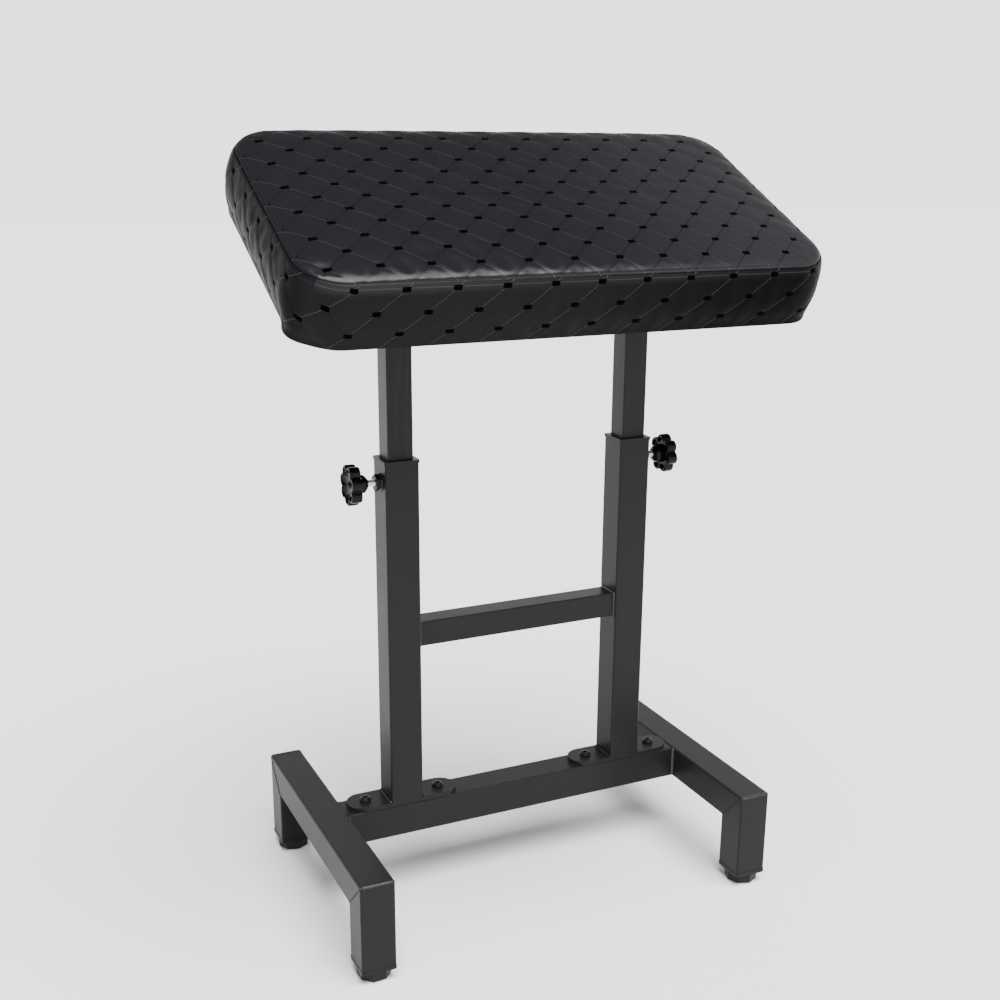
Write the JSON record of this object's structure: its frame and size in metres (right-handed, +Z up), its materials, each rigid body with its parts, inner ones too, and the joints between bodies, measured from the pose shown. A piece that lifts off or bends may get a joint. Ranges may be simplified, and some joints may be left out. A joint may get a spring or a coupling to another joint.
{
  "type": "tattoo arm rest stand",
  "caption": "Arm rest stand: a diamond-quilted rectangular pad tilts on telescoping square posts with star clamp knobs, over an H-shaped tube base on screw feet.",
  "frame": {"origin": "on the floor, under the middle of the base (centre of the bounding box's bottom face)", "axes": "+Z up, +X to the right along the crossbeam as seen from the front, +Y to the rear, towards the raised edge of the pad"},
  "size_m": [0.6174, 0.3558, 0.8877],
  "materials": {
    "powder_coat": "satin",
    "zinc_steel": "satin",
    "black_steel": "satin",
    "knob_plastic": "gloss",
    "black_plastic": "matte",
    "white_nylon": "matte",
    "black_leatherette": "satin",
    "foam": "matte",
    "plywood": "matte",
    "black_cloth": "matte"
  },
  "bodies": {
    "stand_base": {"crossbeam": "powder_coat", "left_foot_rail": "powder_coat", "right_foot_rail": "powder_coat", "post_brace": "powder_coat", "leg_plug_nuts": "zinc_steel", "base_bolts": "black_steel", "rivet_nuts": "zinc_steel", "clamp_nuts": "powder_coat", "front_left_leg": "powder_coat", "front_left_leg_plug": "black_plastic", "rear_left_leg": "powder_coat", "rear_left_leg_plug": "black_plastic", "front_right_leg": "powder_coat", "front_right_leg_plug": "black_plastic", "rear_right_leg": "powder_coat", "rear_right_leg_plug": "black_plastic", "left_post_plate": "powder_coat", "left_outer_post": "powder_coat", "left_guide_sleeve": "black_plastic", "right_post_plate": "powder_coat", "right_outer_post": "powder_coat", "right_guide_sleeve": "black_plastic"},
    "post_carriage": {"left_inner_post": "powder_coat", "left_post_glide": "black_plastic", "left_post_cap": "black_plastic", "right_inner_post": "powder_coat", "right_post_glide": "black_plastic", "right_post_cap": "black_plastic", "pivot_bolts": "zinc_steel", "pivot_nuts": "zinc_steel", "tilt_clamp_bolts": "zinc_steel", "slip_washers": "white_nylon"},
    "pad": {"left_tilt_bracket": "powder_coat", "right_tilt_bracket": "powder_coat", "bracket_screws": "zinc_steel", "tee_nuts": "zinc_steel", "pad_board": "plywood", "pad_underside_cloth": "black_cloth", "pad_foam": "foam", "pad_cover": "black_leatherette"},
    "left_height_clamp_stud": {"left_height_stud": "zinc_steel"},
    "left_height_clamp_knob": {"left_height_knob": "knob_plastic"},
    "right_height_clamp_stud": {"right_height_stud": "zinc_steel"},
    "right_height_clamp_knob": {"right_height_knob": "knob_plastic"},
    "left_tilt_clamp_washer": {"left_tilt_washer": "zinc_steel"},
    "left_tilt_clamp_knob": {"left_tilt_knob": "knob_plastic"},
    "right_tilt_clamp_washer": {"right_tilt_washer": "zinc_steel"},
    "right_tilt_clamp_knob": {"right_tilt_knob": "knob_plastic"},
    "front_left_foot_screw": {"front_left_foot_stud": "zinc_steel"},
    "front_left_foot_pad": {"front_left_foot_base": "black_plastic"},
    "rear_left_foot_screw": {"rear_left_foot_stud": "zinc_steel"},
    "rear_left_foot_pad": {"rear_left_foot_base": "black_plastic"},
    "front_right_foot_screw": {"front_right_foot_stud": "zinc_steel"},
    "front_right_foot_pad": {"front_right_foot_base": "black_plastic"},
    "rear_right_foot_screw": {"rear_right_foot_stud": "zinc_steel"},
    "rear_right_foot_pad": {"rear_right_foot_base": "black_plastic"}
  },
  "joints": [
    {"name": "post_height", "type": "slide", "parent": "stand_base", "child": "post_carriage", "axis": [0, 0, 1], "range_m": [-0.13, 0.15]},
    {"name": "pad_tilt", "type": "hinge", "parent": "post_carriage", "child": "pad", "pos_m": [0, 0, 0.728], "axis": [1, 0, 0], "range_deg": [-26, 34]},
    {"name": "left_height_clamp_travel", "type": "slide", "parent": "stand_base", "child": "left_height_clamp_stud", "axis": [-1, 0, 0], "range_m": [0, 0.00375]},
    {"name": "left_height_clamp_turn", "type": "hinge", "parent": "left_height_clamp_stud", "child": "left_height_clamp_knob", "pos_m": [-0.196, 0, 0.515], "axis": [-1, 0, 0], "range_deg": [0, 1105]},
    {"name": "right_height_clamp_travel", "type": "slide", "parent": "stand_base", "child": "right_height_clamp_stud", "axis": [1, 0, 0], "range_m": [0, 0.00375]},
    {"name": "right_height_clamp_turn", "type": "hinge", "parent": "right_height_clamp_stud", "child": "right_height_clamp_knob", "pos_m": [0.196, 0, 0.515], "axis": [1, 0, 0], "range_deg": [0, 1105]},
    {"name": "left_tilt_clamp_travel", "type": "slide", "parent": "post_carriage", "child": "left_tilt_clamp_washer", "axis": [-1, 0, 0], "range_m": [0, 0.00375]},
    {"name": "left_tilt_clamp_turn", "type": "hinge", "parent": "left_tilt_clamp_washer", "child": "left_tilt_clamp_knob", "pos_m": [-0.175, 0, 0.694], "axis": [-1, 0, 0], "range_deg": [0, 1105]},
    {"name": "right_tilt_clamp_travel", "type": "slide", "parent": "post_carriage", "child": "right_tilt_clamp_washer", "axis": [1, 0, 0], "range_m": [0, 0.00375]},
    {"name": "right_tilt_clamp_turn", "type": "hinge", "parent": "right_tilt_clamp_washer", "child": "right_tilt_clamp_knob", "pos_m": [0.175, 0, 0.694], "axis": [1, 0, 0], "range_deg": [0, 1105]},
    {"name": "front_left_foot_travel", "type": "slide", "parent": "stand_base", "child": "front_left_foot_screw", "axis": [0, 0, -1], "range_m": [0, 0.008]},
    {"name": "front_left_foot_turn", "type": "hinge", "parent": "front_left_foot_screw", "child": "front_left_foot_pad", "pos_m": [-0.243, -0.155, 0.006], "axis": [0, 0, -1], "range_deg": [0, 2329]},
    {"name": "rear_left_foot_travel", "type": "slide", "parent": "stand_base", "child": "rear_left_foot_screw", "axis": [0, 0, -1], "range_m": [0, 0.008]},
    {"name": "rear_left_foot_turn", "type": "hinge", "parent": "rear_left_foot_screw", "child": "rear_left_foot_pad", "pos_m": [-0.243, 0.155, 0.006], "axis": [0, 0, -1], "range_deg": [0, 2329]},
    {"name": "front_right_foot_travel", "type": "slide", "parent": "stand_base", "child": "front_right_foot_screw", "axis": [0, 0, -1], "range_m": [0, 0.008]},
    {"name": "front_right_foot_turn", "type": "hinge", "parent": "front_right_foot_screw", "child": "front_right_foot_pad", "pos_m": [0.243, -0.155, 0.006], "axis": [0, 0, -1], "range_deg": [0, 2329]},
    {"name": "rear_right_foot_travel", "type": "slide", "parent": "stand_base", "child": "rear_right_foot_screw", "axis": [0, 0, -1], "range_m": [0, 0.008]},
    {"name": "rear_right_foot_turn", "type": "hinge", "parent": "rear_right_foot_screw", "child": "rear_right_foot_pad", "pos_m": [0.243, 0.155, 0.006], "axis": [0, 0, -1], "range_deg": [0, 2329]}
  ],
  "couplings": [
    {"joint": "left_height_clamp_turn", "follows": "left_height_clamp_travel", "rad_per_m": 5026.5},
    {"joint": "right_height_clamp_turn", "follows": "right_height_clamp_travel", "rad_per_m": 5026.5},
    {"joint": "left_tilt_clamp_turn", "follows": "left_tilt_clamp_travel", "rad_per_m": 5026.5},
    {"joint": "right_tilt_clamp_turn", "follows": "right_tilt_clamp_travel", "rad_per_m": 5026.5},
    {"joint": "front_left_foot_turn", "follows": "front_left_foot_travel", "rad_per_m": 5026.5},
    {"joint": "rear_left_foot_turn", "follows": "rear_left_foot_travel", "rad_per_m": 5026.5},
    {"joint": "front_right_foot_turn", "follows": "front_right_foot_travel", "rad_per_m": 5026.5},
    {"joint": "rear_right_foot_turn", "follows": "rear_right_foot_travel", "rad_per_m": 5026.5}
  ]
}
